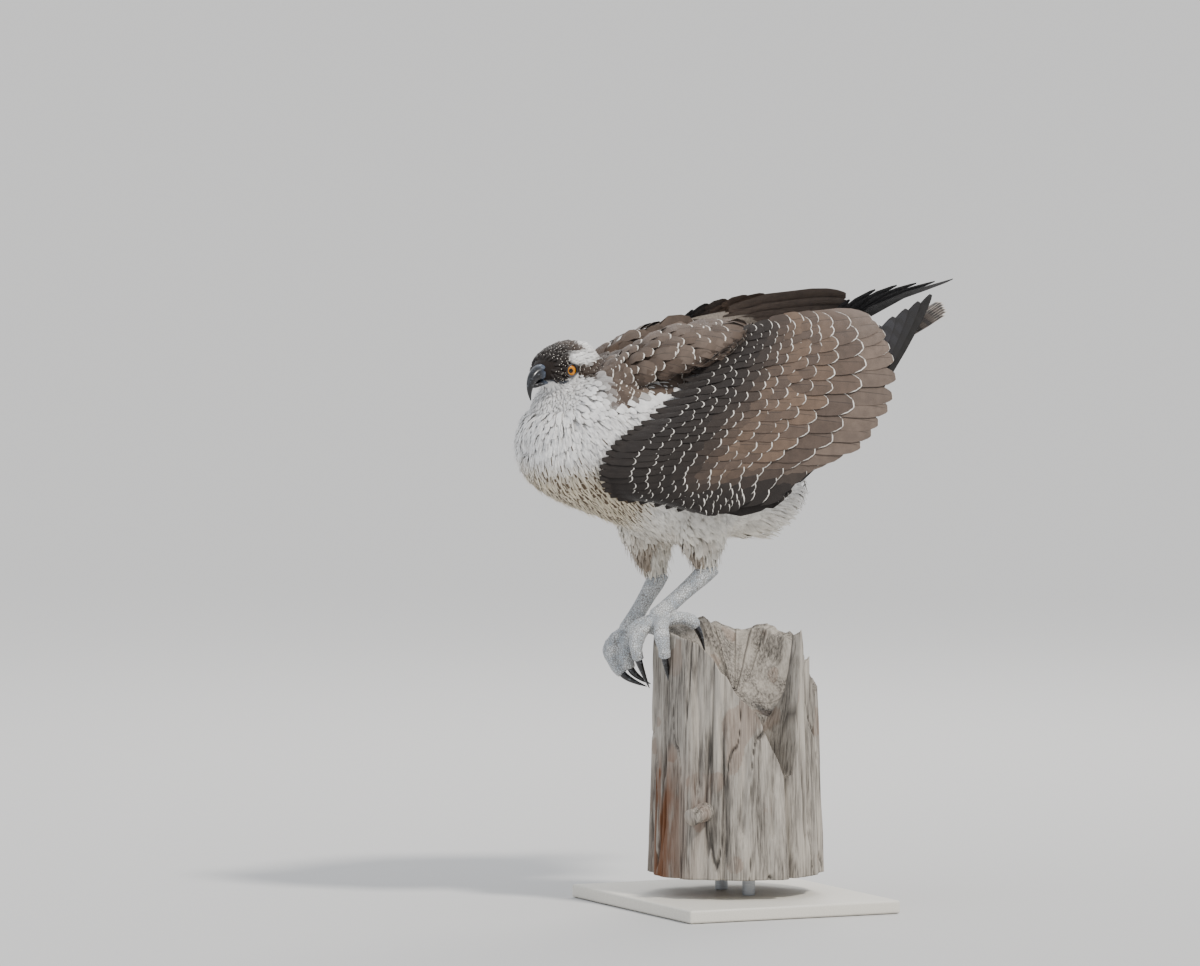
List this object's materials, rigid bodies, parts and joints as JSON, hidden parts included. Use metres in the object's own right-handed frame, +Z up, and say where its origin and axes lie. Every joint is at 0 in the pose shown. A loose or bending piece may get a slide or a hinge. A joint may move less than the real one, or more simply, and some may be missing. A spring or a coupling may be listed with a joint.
{
  "type": "osprey model",
  "caption": "Life-size still model of a perched osprey leaning forward with half-lifted folded wings, on a broken weathered trunk with a plain stand.",
  "frame": {"origin": "middle of the underside of the stand's base plate", "axes": "+Z up; the bird's breast faces -Y and its tail points to +Y; its left side is towards +X"},
  "size_m": [0.3113, 0.5309, 0.6689],
  "materials": {
    "white_plumage": "soft feathers",
    "brown_plumage": "soft feathers with pale fringes",
    "dark_plumage": "stiff dark feathers",
    "bill_horn": "smooth horn",
    "eye": "wet, clear",
    "claw_horn": "smooth black horn",
    "foot_skin": "dry scales",
    "weathered_wood": "silver-grey weathered wood",
    "stand_board": "matt off-white paint",
    "stand_steel": "brushed"
  },
  "bodies": {
    "root": {"torso": "white_plumage", "neck": "white_plumage", "head": "white_plumage", "bill_upper": "bill_horn", "bill_lower": "bill_horn", "eye_left": "eye", "eye_right": "eye", "thigh_left": "white_plumage", "shank_left": "foot_skin", "foot_left": "foot_skin", "claw_left_1": "claw_horn", "claw_left_2": "claw_horn", "claw_left_3": "claw_horn", "claw_left_4": "claw_horn", "thigh_right": "white_plumage", "shank_right": "foot_skin", "foot_right": "foot_skin", "claw_right_1": "claw_horn", "claw_right_2": "claw_horn", "claw_right_3": "claw_horn", "claw_right_4": "claw_horn", "tail": "brown_plumage", "vent_tufts": "white_plumage", "wing_left_upper": "brown_plumage", "wing_left_inner": "brown_plumage", "wing_left_hand": "dark_plumage", "wing_right_upper": "brown_plumage", "wing_right_inner": "brown_plumage", "wing_right_hand": "dark_plumage", "perch_trunk": "weathered_wood", "stand_base": "stand_board", "stand_rod_left": "stand_steel", "stand_rod_right": "stand_steel"}
  },
  "joints": []
}
